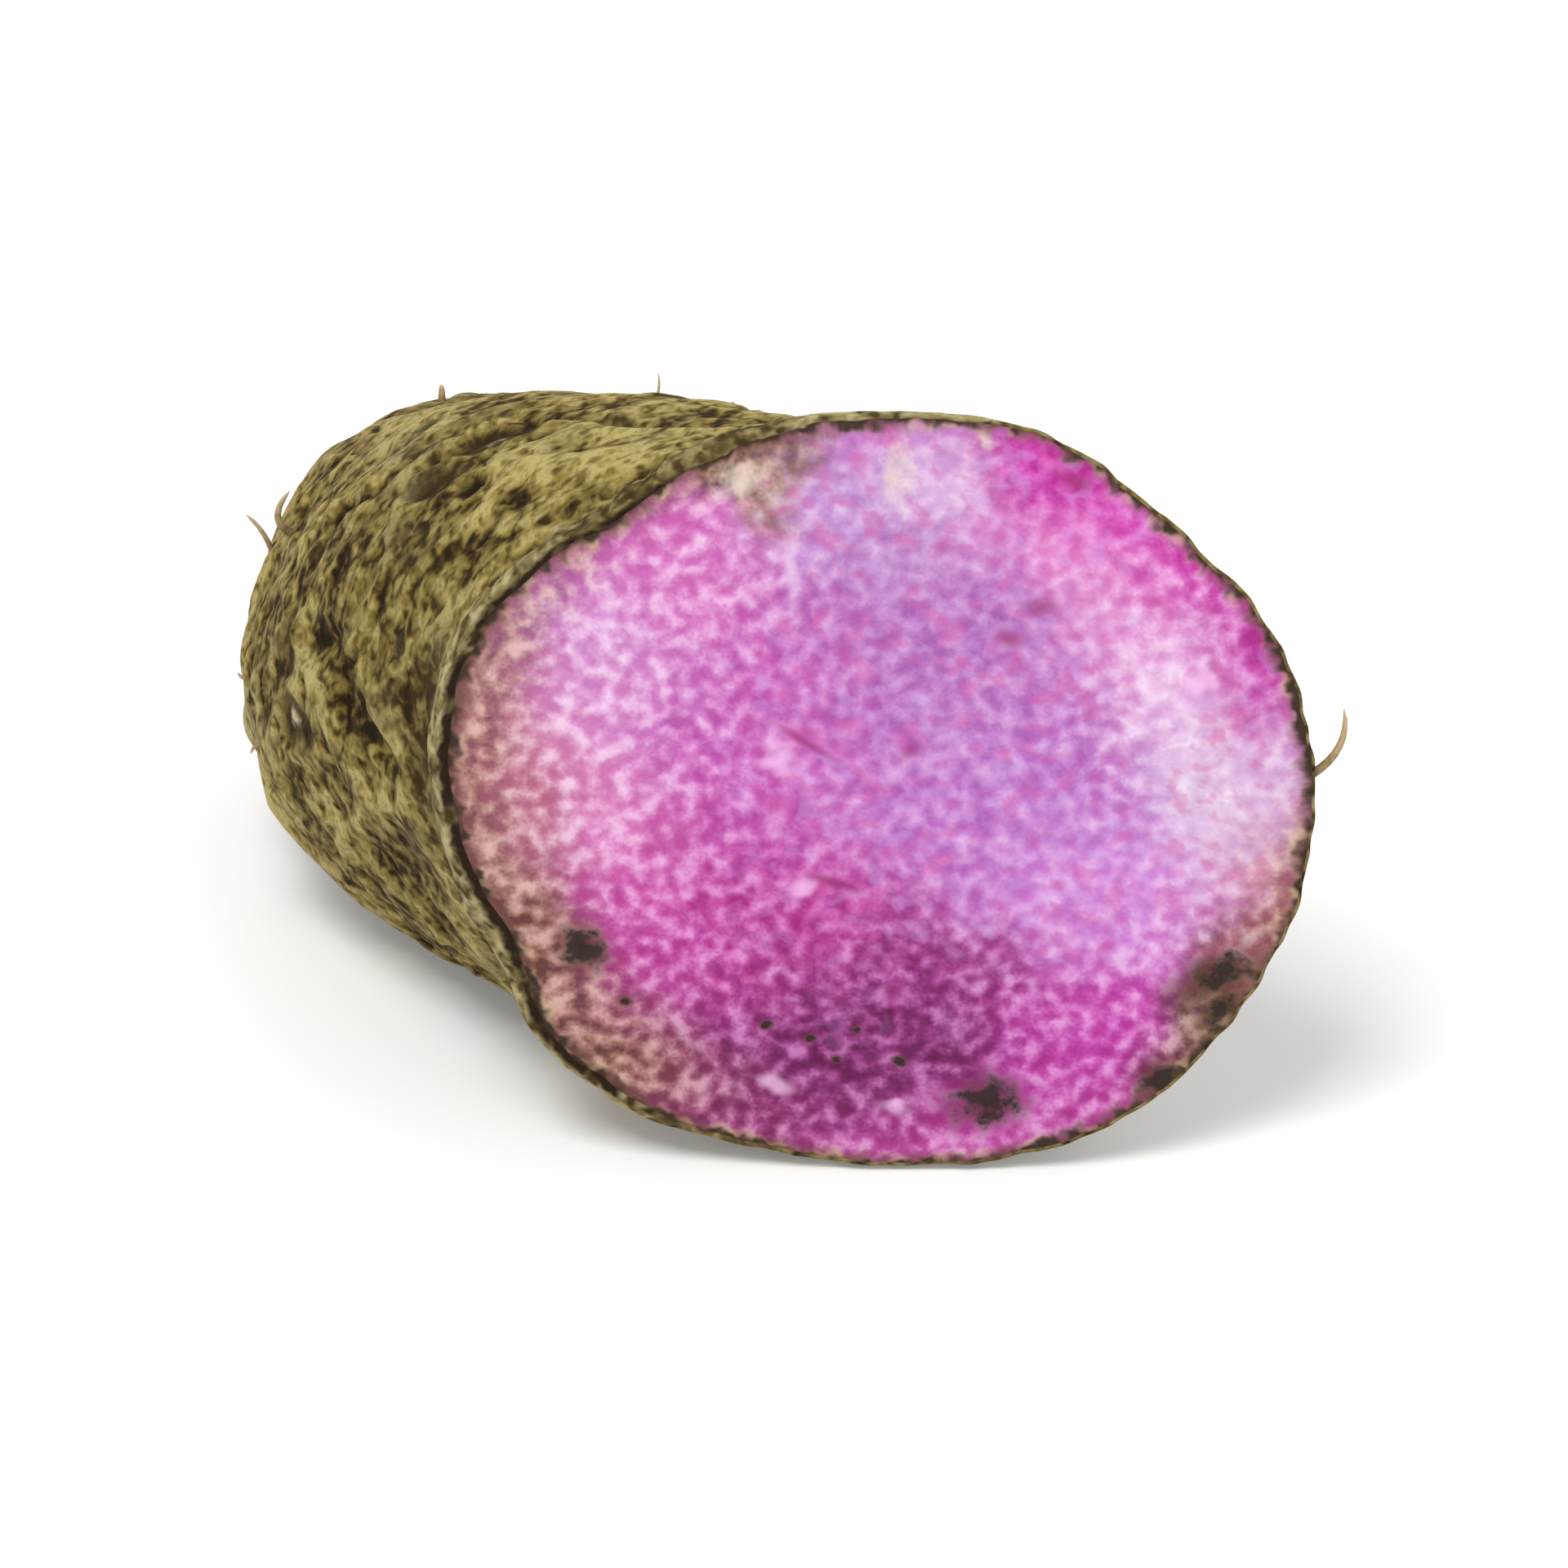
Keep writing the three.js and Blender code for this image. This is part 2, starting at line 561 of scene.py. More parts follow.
@dataclass(frozen=True)
class Mark:
    """A spot, blotch or tuft on the cut, placed as a patch is."""

    right: float
    up: float
    half_width: float
    half_height: float
    lean: float = 0.0  # degrees from level

    def field(self, right: Array, up: Array) -> Array:
        """A hill over the mark, by the distance from its middle in its own half sizes.

        Args:
            right: places on the cut, mm to the right of its middle.
            up: the same, upwards.

        Returns:
            One number a place, 1 in the middle of the mark.
        """
        lean = math.radians(self.lean)
        aside, above = right - self.right, up - self.up
        wide = (aside * math.cos(lean) + above * math.sin(lean)) / self.half_width
        high = (above * math.cos(lean) - aside * math.sin(lean)) / self.half_height
        return hill(np.hypot(wide, high))


@dataclass(frozen=True)
class CutFace:
    """The flesh that the knife laid open: its colours, its marks and its shallow relief."""

    ground: Colour = (208, 112, 184)
    ground_weight: float = 0.16
    patches: tuple[Patch, ...] = each(
        Patch,
        (-2, 30, 10, 7, (194, 158, 208)),
        (3, 16, 11, 10, (180, 123, 189)),
        (12, 1, 13, 10, (190, 132, 202)),
        (19, -10, 8, 6, (213, 152, 219)),
        (14.5, 35, 4.8, 5, (194, 60, 164), 3),
        (20.5, 31, 4.5, 4, (212, 84, 184), 2),
        (15.5, 27.5, 5, 3.6, (230, 152, 212), 1.4),
        (6, 33, 4, 3.6, (222, 190, 224), 1.8),
        (34.5, 16, 4.4, 9, (192, 56, 164), 2.8),
        (27.5, 25.5, 4.5, 4.5, (204, 72, 174), 2.4),
        (23, 21, 6, 6, (228, 170, 214)),
        (26.5, 14, 4, 6, (228, 178, 222), 1.2),
        (31, 5, 6.5, 9, (226, 208, 232), 2),
        (-26, 15, 7.5, 8, (216, 164, 212), 1.2),
        (-28, 2, 6, 8, (222, 160, 200), 1.2),
        (-19, 26, 7.5, 6, (216, 134, 196), 1.4),
        (-11, 33.6, 2.4, 3, (164, 138, 104), 2.6),
        (-14, 36.5, 4, 2.4, (100, 78, 50), 2.6),
        (-36, 3, 4.5, 12, (198, 138, 150), 1.6),
        (-33, -13, 5, 8, (140, 98, 78), 1.5),
        (-25, -28, 8, 5, (150, 96, 94), 1.4),
        (-3, -25.5, 12, 5.6, (122, 34, 100), 1.8),
        (4, -17, 9, 5, (152, 54, 130)),
        (-15, -13, 12, 9, (186, 72, 157)),
        (-12, 9, 9, 10, (198, 108, 186)),
        (-25, -9, 4.5, 7, (216, 120, 190), 1.4),
        (37, -11, 4, 8, (198, 138, 146), 1.3),
        (34.5, -17.5, 3.4, 3.8, (116, 88, 60), 1.8),
        (31.5, -23, 3.2, 4.2, (98, 76, 42), 3),
        (26, -29.5, 3.4, 2.6, (108, 78, 54), 2.2),
        (20, -26, 8, 6, (200, 86, 180)),
        (10, -33, 12, 3.5, (186, 88, 160)),
        (-12, -33, 8, 3, (146, 58, 116)),
    )
    calm_flesh: tuple[Mark, ...] = each(
        Mark,
        (5, 14, 17, 30, -20),
        (16, -6, 14, 12),
        (31, 2, 8, 14),
        (-1, 33, 13, 9),
    )
    dark_spots: tuple[Mark, ...] = each(
        Mark,
        (-28.4, -15.6, 2.1, 2.3),
        (31.3, -18.1, 3.4, 1.9, 30),
        (31.8, -21.8, 1.2, 2.4, -30),
        (26.2, -29.6, 1.8, 1.5, 30),
        (9.7, -32.3, 3.2, 2.5, 10),
        (-24.6, -21.4, 0.7, 0.6),
        (-11.2, -23.9, 0.6, 0.5, 30),
        (-7.1, -25.4, 0.6, 0.5),
        (-4.5, -27.8, 0.45, 0.45),
        (1.6, -27.8, 0.7, 0.6),
        (-2.6, -24.4, 0.4, 0.4),
    )
    red_spots: tuple[Mark, ...] = each(
        Mark,
        (14.1, 21, 1.7, 1.2, 10),
        (11.3, 17.8, 1.6, 1.1, -30),
        (-7.4, 6.6, 3.4, 0.55, -35),
        (17, 34, 2.2, 1.1, -20),
        (-4.6, -8.4, 2.8, 0.6, -20),
        (2.4, 6, 1.2, 0.9, 40),
    )
    tufts: tuple[Mark, ...] = each(
        Mark,
        (-13.3, 33.8, 3.2, 2.6, -20),
        (0.8, 34.6, 1.7, 4.4),
        (8.8, 38.1, 0.7, 1.8, 20),
    )
    pale_spots: tuple[Mark, ...] = each(
        Mark,
        (-10, 4.9, 2.2, 2.2),
        (-7.6, -9, 2, 1.2, 20),
        (29, 13, 3.2, 2, 40),
        (-10.2, -30.6, 2.6, 1.4, -25),
        (1, -33, 2.4, 1.2, -10),
    )
    undulation: float = 0.22  # mm by which the knife strayed
    undulation_wave: float = 16.0
    warp: float = 3.4  # mm by which the patches' edges wander
    warp_wave: float = 9.0

    def colours(self, right: Array, up: Array, noise: GradientNoise) -> Array:
        """The flesh's broad colours: every patch's colour weighed by a hill over the patch.

        Args:
            right: places on the cut, mm to the right of its middle.
            up: the same, upwards.
            noise: shifts the places, so that the patches' edges wander.

        Returns:
            Linear colours, three numbers a place.
        """
        flat = np.stack([right, up, 0.0 * up], axis=-1)
        right = right + self.warp * noise.layered(flat, self.warp_wave, 3)
        up = up + self.warp * noise.layered(flat + 50.0, self.warp_wave, 3)
        total = np.full(right.shape, self.ground_weight)
        mixed = total[..., None] * np.array(linear(self.ground))
        for patch in self.patches:
            aside = (right - patch.right) / patch.half_width
            above = (up - patch.up) / patch.half_height
            share = patch.weight * hill(np.hypot(aside, above))
            total = total + share
            mixed = mixed + share[..., None] * np.array(linear(patch.colour))
        return mixed / total[..., None]


@dataclass(frozen=True)
class Stretch:
    """A stretch of the rim on which something is strong."""

    middle: float  # degrees
    half: float  # half its length, degrees
    strength: float
    depth: float = math.inf  # how far in it reaches, mm

    def field(self, around: Array, way: Array) -> Array:
        """The stretch's strength at each place: a hill round the cut that fades inwards."""
        inwards = 1.0 - smooth_step(way / self.depth)
        return self.strength * hill(turn_between(around, self.middle) / self.half) * inwards


@dataclass(frozen=True)
class Rim:
    """The skin's lip at the cut and the dark line between it and the flesh."""

    lip_rise: float = 0.8  # how far the lip flares outwards, mm
    lip_back: float = 1.7  # how far its crest lies behind the cut
    lip_width: float = 1.8
    lip_front: float = 0.2  # how far it stands proud of the cut
    front_back: float = 0.3  # how far behind the cut it does so most
    front_width: float = 0.6
    hollow_depth: float = 0.9  # the hollow behind the lip
    hollow_back: float = 6.6
    hollow_width: float = 3.6
    line_depth: float = 0.55  # the dark line's groove
    line_in: float = 0.45  # distance of the line inside the rim
    line_width: float = 0.65
    scallop: float = 0.4  # how far the outline wavers, mm
    scallop_wave: float = 4.5
    scallop_ring: float = 40.0  # radius of the ring on which their noise is read, mm
    scallop_reach: float = 2.5  # how far from the rim it fades out, mm
    shift_reach: float = 9.0
    seed: int = 23
    weakest: float = 0.3  # the lip's strength where it is weakest
    strong_middle: float = 160.0  # middle of the stretch where it is strong, degrees
    strong_half: float = 76.0
    strong_fade: float = 24.0
    rind_places: tuple[Stretch, ...] = each(  # where the dark line is thick
        Stretch,
        (130, 18, 0.8),
        (98, 22, 1),
        (168, 60, 0.8),
        (222, 40, 0.9),
        (300, 40, 0.85),
        (44, 34, 0.75),
        (8, 26, 1.1),
    )
    cortex_places: tuple[Stretch, ...] = each(  # where the flesh inside it is brown, and how deep
        Stretch,
        (176, 48, 1.15, 10),
        (212, 28, 1.25, 15),
        (130, 22, 1.1, 5),
        (113, 10, 1.1, 7),
        (108, 7, 0.8, 9),
        (348, 16, 0.9, 6),
        (322, 16, 0.6, 8),
        (262, 34, 0.8, 3),
        (20, 26, 0.5, 2),
        (75, 30, 0.5, 2.4),
    )
    strip_places: tuple[Stretch, ...] = each(  # where the line's outer side is light cork
        Stretch,
        (100, 26, 1.1),
        (66, 16, 0.6),
        (30, 18, 0.35),
        (270, 30, 0.5),
    )
    shift_places: tuple[Stretch, ...] = each(  # where the outline bulges, by its strength in mm
        Stretch,
        (163, 26, 1.05),
        (127, 14, -1.5),
        (200, 14, -0.8),
        (217, 9, 1.3),
        (228, 6, -0.7),
    )

    def strength(self, around: Array) -> Array:
        """How strong lip and line are round the cut: full over the stretch, then fading.

        Args:
            around: places round the cut, degrees.

        Returns:
            From weakest to 1.
        """
        off = np.abs(turn_between(around, self.strong_middle)) - self.strong_half
        fade = 1.0 - smooth_step(0.5 + 0.5 * off / self.strong_fade)
        return self.weakest + (1.0 - self.weakest) * fade

    def shift(self, way: Array, around: Array) -> Array:
        """How far the outline bulges: hills round the cut and a fine noise read on a ring.

        Args:
            way: the grid's way, mm.
            around: places round the cut, degrees.

        Returns:
            Shifts away from the cut's middle in mm, which fade on both sides of the rim.
        """
        bulge = sum(place.field(around, way) for place in self.shift_places)
        turn = np.radians(around)
        ring = self.scallop_ring * np.stack([np.cos(turn), np.sin(turn), 0.0 * turn], axis=-1)
        scallops = self.scallop * GradientNoise(self.seed).layered(ring, self.scallop_wave, 2)
        away = np.abs(way)
        near, close = (
            1.0 - smooth_step(away / reach) for reach in (self.shift_reach, self.scallop_reach)
        )
        return bulge * near + scallops * close

    def outwards(self, way: Array, around: Array) -> Array:
        """Rise of the skin near the cut: a hill for the lip less one for the hollow behind.

        Args:
            way: the grid's way, mm.
            around: places round the cut, degrees.

        Returns:
            The rise in mm.
        """
        lip = self.lip_rise * hill((way + self.lip_back) / self.lip_width)
        hollow = self.hollow_depth * hill((way + self.hollow_back) / self.hollow_width)
        return (lip - hollow) * self.strength(around)

    def forwards(self, way: Array, around: Array) -> Array:
        """How far the surface stands proud of the cut: a hill for the lip less the groove.

        Args:
            way: the grid's way, mm.
            around: places round the cut, degrees.

        Returns:
            Distances towards the front in mm.
        """
        lip = self.lip_front * hill((way + self.front_back) / self.front_width)
        groove = self.line_depth * hill((way - self.line_in) / self.line_width)
        return (lip - groove) * self.strength(around)


# ---- Objects and meshes ----


def add_object(name: str, data: bpy.types.ID) -> bpy.types.Object:
    """Makes an object.

    Args:
        name: its name.
        data: its mesh, lamp or camera.

    Returns:
        The object, linked to the scene.
    """
    thing = bpy.data.objects.new(name, data)
    bpy.context.scene.collection.objects.link(thing)
    return thing


def grid_normals(points: Array) -> Array:
    """Outward unit normals of a grid: the step round the ring crossed with the step inwards."""
    round_step = np.roll(points, -1, axis=1) - np.roll(points, 1, axis=1)
    return unit(np.cross(round_step, np.gradient(points, axis=0)))


def closed_faces(rows: int, sides: int) -> tuple[Array, Array]:
    """Faces of a grid of rings that is closed by a point at each end.

    The grid's points come first, ring after ring, then the first end's point, then the last's.

    Args:
        rows: number of rings.
        sides: points in a ring.

    Returns:
        Four-sided faces between the rings, and three-sided ones at the ends, first end first.
    """
    here = np.arange(rows * sides).reshape(rows, sides)
    beside = np.roll(here, -1, axis=1)
    quads = np.stack([here[:-1], beside[:-1], beside[1:], here[1:]], axis=-1)
    end = np.full(sides, rows * sides)
    first = np.stack([end, beside[0], here[0]], axis=-1)
    last = np.stack([here[-1], beside[-1], end + 1], axis=-1)
    return quads.reshape(-1, 4), np.concatenate([first, last])


def with_ends(values: Array) -> Array:
    """Grid values as one row a vertex, with the mean of each end ring for its end point."""
    ends = [values[0].mean(axis=0), values[-1].mean(axis=0)]
    return np.concatenate([values.reshape(-1, *values.shape[2:]), ends])


def make_mesh(name: str, points: Array, *faces: Array) -> bpy.types.Object:
    """A smooth-shaded mesh object at the origin.

    Args:
        name: the piece's name.
        points: vertices in mm, three numbers each.
        faces: vertex numbers, one row a face, in arrays of faces with as many sides.

    Returns:
        The object, linked to the scene.
    """
    mesh = bpy.data.meshes.new(name)
    mesh.from_pydata((points * MM).tolist(), [], [face for some in faces for face in some.tolist()])
    mesh.polygons.foreach_set("use_smooth", np.ones(len(mesh.polygons), dtype=bool))
    mesh.validate()
    return add_object(name, mesh)


def add_values(piece: bpy.types.Object, name: str, values: Array) -> None:
    """Stores one number or three numbers a vertex under a name.

    Args:
        piece: the mesh object.
        name: the attribute's name, which its material reads.
        values: an array with one row a vertex: flat, or three numbers wide.
    """
    kind, key = ("FLOAT", "value") if values.ndim == 1 else ("FLOAT_VECTOR", "vector")
    layer = piece.data.attributes.new(name, kind, "POINT")
    layer.data.foreach_set(key, np.ascontiguousarray(values, dtype=np.float32).ravel())


# ---- The tuber ----

PROBE = 0.5  # step aside when a slope is measured, mm or degrees
POLAR_RADIUS = 30.0  # mm that a radian round the cut counts as in the polar coordinates


@dataclass
class Tuber:
    """The whole piece of yam as one closed mesh, skin and flesh."""

    form: TuberForm = field(default_factory=TuberForm)
    relief: SkinRelief = field(default_factory=SkinRelief)
    face: CutFace = field(default_factory=CutFace)
    rim: Rim = field(default_factory=Rim)
    sides: int = 432
    skin_rings: int = 158
    rim_rings: int = 9  # on each side of the rim
    rim_skin_step: float = 0.384  # their spacing on the skin, mm
    rim_flesh_step: float = 0.24
    flesh_rings: int = 50
    flesh_start: int = 2  # rings inside the rim at which the flesh's material starts
    tip_gap: float = 0.5  # distance of the first ring from the tip, mm
    relief_start: float = 2.6  # distance from the cut over which the relief grows, mm
    edge_reach: float = 1.2  # distance from the rim within which the edge is rounded, mm
    foot_round: float = 0.8  # how softly the underside is pressed flat, mm
    flesh_seed: int = 71
    shaded_skin: tuple[Spot, ...] = each(
        Spot,
        (0, 122, 6, 17),
        (8.5, 163, 3, 10),
        (23, 146, 5, 6),
        (32, 131, 5, 6),
        (7, 178, 3, 16),
        (34, 118, 3, 6),
        (40, 300, 14, 40),
        (41, 126, 6, 6),
        (38, 172, 3, 5),
    )
    pale_skin: tuple[Spot, ...] = each(
        Spot,
        (16, 108, 9, 13),
        (60, 122, 14, 16),
        (12, 176, 3, 4),
        (50, 206, 16, 9),
        (31, 198, 5, 5),
        (11, 156, 3.5, 12),
    )

    def __post_init__(self) -> None:
        """Works out where the rings lie and how the formula's frame lies in the CAD frame."""
        rim_skin = -self.rim_skin_step * np.arange(self.rim_rings, 0, -1)
        rim_flesh = self.rim_flesh_step * np.arange(self.rim_rings)
        tip = self.form.profile_length - self.tip_gap
        skin = -np.linspace(tip, -rim_skin[0], self.skin_rings, endpoint=False)
        flesh = np.linspace(rim_flesh[-1], self.form.cut_radius, self.flesh_rings + 2)[1:-1]
        self._rings = np.concatenate([skin, rim_skin, rim_flesh, flesh])
        turns = np.arange(self.sides) * 360.0 / self.sides
        self._way, self._around = np.meshgrid(self._rings, turns, indexing="ij")
        self._distance = np.clip(-self._way, 0.0, None)
        self._centre = np.array([0.0, 0.0, self.form.cut_radius])
        self._smooth = self._smooth_points()
        self._noise = GradientNoise(self.flesh_seed)
        low, high = (np.array(corner) / MM for corner in CAD_BOX)
        middle = 0.5 * (self._smooth.min(axis=(0, 1)) + self._smooth.max(axis=(0, 1)))
        self._move = 0.5 * (low + high) - middle
        self._move[2] = low[2]

    @property
    def cut_middle(self) -> Vector:
        """The middle of the cut face in the CAD frame, in metres."""
        return Vector((self._centre + self._move) * MM)

    def _smooth_points(self) -> Array:
        """The smooth form on the grid: the skin's formula up to the rim, then the flat cut.

        Returns:
            Points in mm in the formula's own frame, whose origin is under the cut's middle.
        """
        skin = self.form.skin_at(self._distance, self._around)
        rim = self.form.skin_at(np.zeros(self.sides), self._around[0])
        share = 1.0 - np.clip(self._way, 0.0, None) / self.form.cut_radius
        flesh = self._centre + (rim - self._centre) * share[..., None]
        return np.where(self._way[..., None] < 0.0, skin, flesh)

    def _finished_points(self, height: Array) -> Array:
        """The grid in the CAD frame with its relief, lip and outline, and a wavy cut.

        The underside is pressed flat on the ground: half the sum of z and the root of z squared
        plus the rounding squared.

        Args:
            height: how far the skin's relief rises, mm.

        Returns:
            Points in mm.
        """
        way, around, smooth = self._way, self._around, self._smooth
        on_cut = self._rings >= 0.0
        normals = grid_normals(smooth)
        normals[on_cut] = (0.0, -1.0, 0.0)
        rise = np.where(way < 0.0, height + self.rim.outwards(way, around), 0.0)
        spokes = unit(smooth[on_cut][0] - self._centre)
        points = smooth + normals * rise[..., None]
        points += spokes * self.rim.shift(way, around)[..., None]
        stray = self.face.undulation * self._noise.layered(smooth, self.face.undulation_wave, 3)
        points[..., 1] -= self.rim.forwards(way, around) + np.where(way < 0.0, 0.0, stray)
        points = self._round_edge(points)
        z = points[..., 2]
        points[..., 2] = 0.5 * (z + np.sqrt(z**2 + self.foot_round**2))
        return points + self._move

    def _round_edge(self, points: Array) -> Array:
        """Rounds the edge at the rim by averaging each near ring with its neighbours, twice.

        Args:
            points: the grid, which is changed.

        Returns:
            The same grid.
        """
        near = np.where(np.abs(self._rings) < self.edge_reach)[0]
        for _ in range(2):
            points[near] = 0.25 * points[near - 1] + 0.5 * points[near] + 0.25 * points[near + 1]
        return points

    def build(self, skin: Material, flesh: Material) -> bpy.types.Object:
        """Makes the mesh and its attributes, and gives it its two materials.

        Args:
            skin: material of the skin and its lip.
            flesh: material of the cut face.

        Returns:
            The piece.
        """
        way, around, distance, smooth = self._way, self._around, self._distance, self._smooth
        height, shown = self.relief.at(smooth, distance, around)
        near_rim = smooth_step(distance / self.relief_start)
        quads, ends = closed_faces(*way.shape)
        points = with_ends(self._finished_points(height * near_rim))
        piece = make_mesh("yam_tuber", points, quads, ends)

        right, up = smooth[..., 0], smooth[..., 2] - self.form.cut_radius
        values = {
            **{name: grid * near_rim for name, grid in shown.items()},
            "way": way,
            "lip": self.rim.strength(around),
            "rind": highest(self.rim.rind_places, around, way),
            "strip": highest(self.rim.strip_places, around, way),
            "cortex": highest(self.rim.cortex_places, around, way),
            "calm": highest(self.face.calm_flesh, right, up),
            "shade": highest(self.shaded_skin, distance, around),
            "pale": highest(self.pale_skin, distance, around),
            "grain": self.relief.along_grain(smooth, distance, around),
            "flesh_colour": self.face.colours(right, up, self._noise),
            "polar": np.stack([way, POLAR_RADIUS * np.radians(around), 0.0 * way], axis=-1),
        }
        for name, grid in values.items():
            add_values(piece, name, with_ends(grid))

        piece.data.materials.append(skin)
        piece.data.materials.append(flesh)
        first_flesh = self.skin_rings + self.rim_rings + self.flesh_start
        is_flesh = np.arange(len(quads)) // self.sides >= first_flesh
        slots = np.concatenate([is_flesh, np.arange(len(ends)) >= self.sides])
        piece.data.polygons.foreach_set("material_index", slots.astype(np.int32))
        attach(piece, "root")
        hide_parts("yam")
        return piece

    def skin_places(self, distance: Array, around: Array) -> tuple[Array, Array]:
        """Places on the smooth skin in the CAD frame, and the directions outwards there.

        Args:
            distance: from the cut along the skin, mm, one number a place.
            around: degrees, one number a place.

        Returns:
            Two arrays of three numbers a place.
        """
        here = self.form.skin_at(distance, around)
        ahead = self.form.skin_at(distance + PROBE, around) - here
        aside = self.form.skin_at(distance, around + PROBE) - here
        across = here - self.form.skin_at(distance, around + 180.0)
        out = np.cross(aside, ahead)
        out *= np.sign(np.sum(out * across, axis=-1, keepdims=True))
        return here + self._move, unit(out)


@dataclass(frozen=True)
class Rootlet:
    """A thin root that stands on the skin, as a curve through four guiding points."""

    distance: float  # of its foot from the cut along the skin, mm
    around: float  # of its foot, degrees
    radius: float  # at the foot, mm
    guides: tuple[tuple[float, float, float], ...]  # the points after the foot, mm from it


@dataclass(frozen=True)
class Rootlets:
    """All rootlets as one mesh of thin closed tubes."""

    chosen: tuple[Rootlet, ...] = each(
        Rootlet,
        (73.4, 102, 0.45, ((-0.1, 0.2, 0.5), (0.1, 0.4, 1), (-0.1, 0.6, 1.5))),
        (60, 155, 0.48, ((-1.8, 0.4, 0.4), (-1.9, 1, 1.8), (-0.2, 2, 3.6))),
        (67.3, 166, 0.34, ((0.2, 0.8, 1.5), (-0.9, 1.6, 3), (-2.3, 2, 3.9))),
        (52, 187, 0.26, ((-0.5, 0.2, 0.3), (-0.9, 0.4, 0.2), (-1.2, 0.3, 0.9))),
        (44, 194, 0.24, ((-0.5, 0.1, -0.1), (-1, 0.2, -0.5), (-1.1, 0.1, -1.2))),
        (2.5, 3, 0.48, ((2.8, 0.3, 0.4), (5.6, 1.4, 2.8), (4.8, 2.8, 6.2))),
    )
    stubs: int = 16  # short ones, made by chance between the limits below
    stub_distance: tuple[float, float] = (12.0, 98.0)  # of the foot from the cut, mm
    stub_around: tuple[float, float] = (-70.0, 96.0)  # degrees
    stub_length: tuple[float, float] = (0.6, 1.5)  # mm
    stub_radius: tuple[float, float] = (0.18, 0.34)  # mm
    seed: int = 5
    sunk: float = 0.7  # how deep the feet stand in the skin, mm
    rings: int = 12
    sides: int = 8

    def _curves(self, tuber: Tuber) -> tuple[Array, Array]:
        """Works out the rootlets' courses.

        A stub's points go outwards by growing shares of its length, each shifted by chance.

        Args:
            tuber: the tuber that they stand on.

        Returns:
            Four guiding points of every rootlet in the CAD frame, all first points first, and
            the rootlets' radii, mm.
        """
        draw = np.random.default_rng(self.seed)
        count = self.stubs
        distance, around, radius = (
            [getattr(one, name) for one in self.chosen] for name in ("distance", "around", "radius")
        )
        distance = np.append(distance, draw.uniform(*self.stub_distance, count))
        around = np.append(around, draw.uniform(*self.stub_around, count))
        feet, out = tuber.skin_places(distance, around)
        length = draw.uniform(*self.stub_length, count)[:, None]
        reach, lean = np.array([[0.4, 0.75, 0.9], [0.2, 0.4, 0.6]])[..., None, None]
        stalks = length * (reach * out[-count:] + lean * draw.normal(size=(3, count, 3)))
        chosen = np.array([one.guides for one in self.chosen]).swapaxes(0, 1)
        steps = np.concatenate([chosen, stalks], axis=1)
        guides = feet + np.concatenate([-self.sunk * out[None], steps])
        return guides, np.append(radius, draw.uniform(*self.stub_radius, count))

    def build(self, tuber: Tuber, finish: Material) -> bpy.types.Object:
        """Makes the mesh: tubes round cubic curves, thinning towards rounded tips.

        Args:
            tuber: the tuber that they stand on.
            finish: their material.

        Returns:
            The piece.
        """
        guides, radius = self._curves(tuber)
        along = np.linspace(0.0, 1.0, self.rings)
        left = 1.0 - along
        shares = (left**3, 3.0 * left**2 * along, 3.0 * left * along**2, along**3)
        path = sum(share[:, None] * guide[:, None] for share, guide in zip(shares, guides))
        heading = unit(np.gradient(path, axis=1))
        across = unit(np.cross(heading, np.array([0.31, 0.88, -0.35])))
        over = np.cross(heading, across)
        turn = np.arange(self.sides)[:, None] * 2.0 * math.pi / self.sides
        ring = np.cos(turn) * across[:, :, None] + np.sin(turn) * over[:, :, None]
        thick = radius[:, None] * (1.0 - 0.4 * along) * np.sqrt(1.02 - along**6)
        tubes = path[:, :, None] + ring * thick[..., None, None]
        count = len(radius)
        vertices = np.concatenate([tubes.reshape(count, -1, 3), path[:, [0, -1]]], axis=1)
        first = (np.arange(count) * vertices.shape[1])[:, None, None]
        quads, ends = (
            (faces + first).reshape(-1, faces.shape[1])
            for faces in closed_faces(self.rings, self.sides)
        )
        piece = make_mesh("yam_rootlets", vertices.reshape(-1, 3), quads, ends)
        upwards = np.concatenate([np.repeat(along, self.sides), [0.0, 1.0]])
        add_values(piece, "along", np.tile(upwards, count))
        piece.data.materials.append(finish)
        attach(piece, "root")
        return piece


# ---- Materials ----

NOWHERE = -9.0  # nearness of a place that no mark is near
ASKEW = (0.7, 0.4, 1.1)  # radians about each axis, so that a flat cut shows no noise cells
MIX_SHARE, MIX_UNDER, MIX_OVER, MIX_COLOUR = 0, 6, 7, 2  # a mix node's colour sockets


class Maths(Enum):
    """What a maths node works out."""

    TIMES = "MULTIPLY"
    TIMES_PLUS = "MULTIPLY_ADD"
    HIGHER = "MAXIMUM"
    LENGTH = "LENGTH"


class Shader(Enum):
    """The shader that a sheet ends in, and the output that it goes to."""

    SOLID = ("BsdfPrincipled", "OutputMaterial")
    SKY = ("Background", "OutputWorld")


